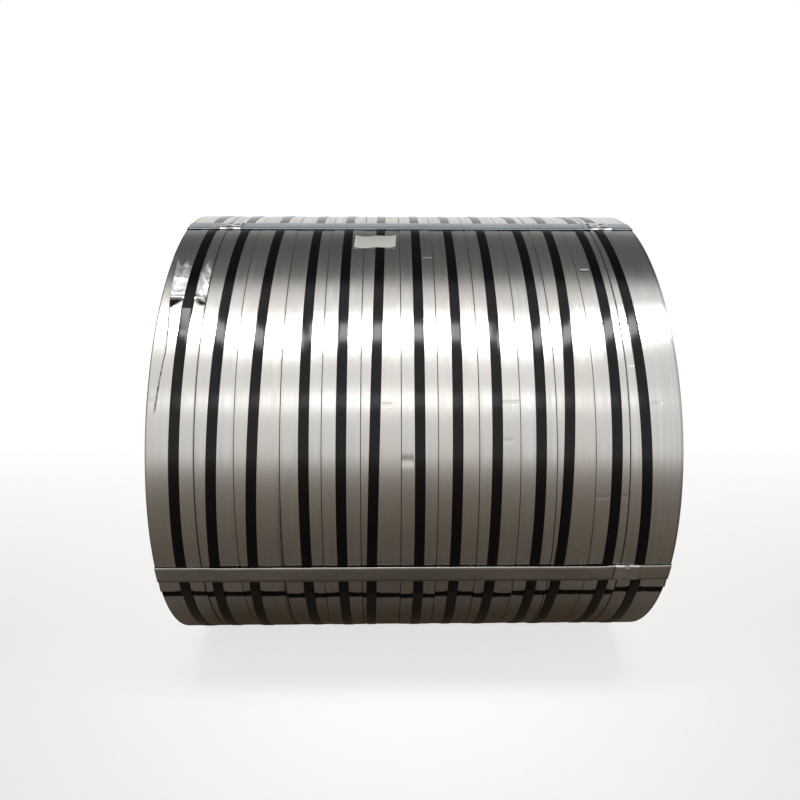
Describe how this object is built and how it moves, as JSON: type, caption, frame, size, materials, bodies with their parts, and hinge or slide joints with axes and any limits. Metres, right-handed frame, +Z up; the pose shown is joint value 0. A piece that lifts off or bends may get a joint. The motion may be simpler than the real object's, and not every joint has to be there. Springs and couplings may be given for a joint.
{
  "type": "slit steel coil",
  "caption": "Stainless steel coil slit into narrow strips side by side on one bore, each bound by a belly strap and all tied through the eye.",
  "frame": {"origin": "middle of the bore, on the coil's axis", "axes": "+X along the coil's axis to its right end, +Z up, -Y the side with the label"},
  "size_m": [1.252, 1.242, 1.242],
  "materials": {
    "strip": "mill finish",
    "belly_strap": "gloss",
    "belly_seal": "semi-gloss",
    "eye_strap": "satin",
    "eye_seal": "satin",
    "label": "matte"
  },
  "bodies": {
    "root": {"strip_01": "strip", "strip_02": "strip", "strip_03": "strip", "strip_04": "strip", "strip_05": "strip", "strip_06": "strip", "strip_07": "strip", "strip_08": "strip", "strip_09": "strip", "strip_10": "strip", "strip_11": "strip", "strip_12": "strip", "strip_13": "strip", "belly_strap_01": "belly_strap", "belly_strap_02": "belly_strap", "belly_strap_03": "belly_strap", "belly_strap_04": "belly_strap", "belly_strap_05": "belly_strap", "belly_strap_06": "belly_strap", "belly_strap_07": "belly_strap", "belly_strap_08": "belly_strap", "belly_strap_09": "belly_strap", "belly_strap_10": "belly_strap", "belly_strap_11": "belly_strap", "belly_strap_12": "belly_strap", "belly_strap_13": "belly_strap", "belly_seal_01": "belly_seal", "belly_seal_02": "belly_seal", "belly_seal_03": "belly_seal", "belly_seal_04": "belly_seal", "belly_seal_05": "belly_seal", "belly_seal_06": "belly_seal", "belly_seal_07": "belly_seal", "belly_seal_08": "belly_seal", "belly_seal_09": "belly_seal", "belly_seal_10": "belly_seal", "belly_seal_11": "belly_seal", "belly_seal_12": "belly_seal", "belly_seal_13": "belly_seal", "eye_strap_1": "eye_strap", "eye_strap_2": "eye_strap", "eye_strap_3": "eye_strap", "eye_seal_1": "eye_seal", "eye_seal_2": "eye_seal", "eye_seal_3": "eye_seal", "eye_seal_4": "eye_seal", "label": "label"}
  },
  "joints": []
}
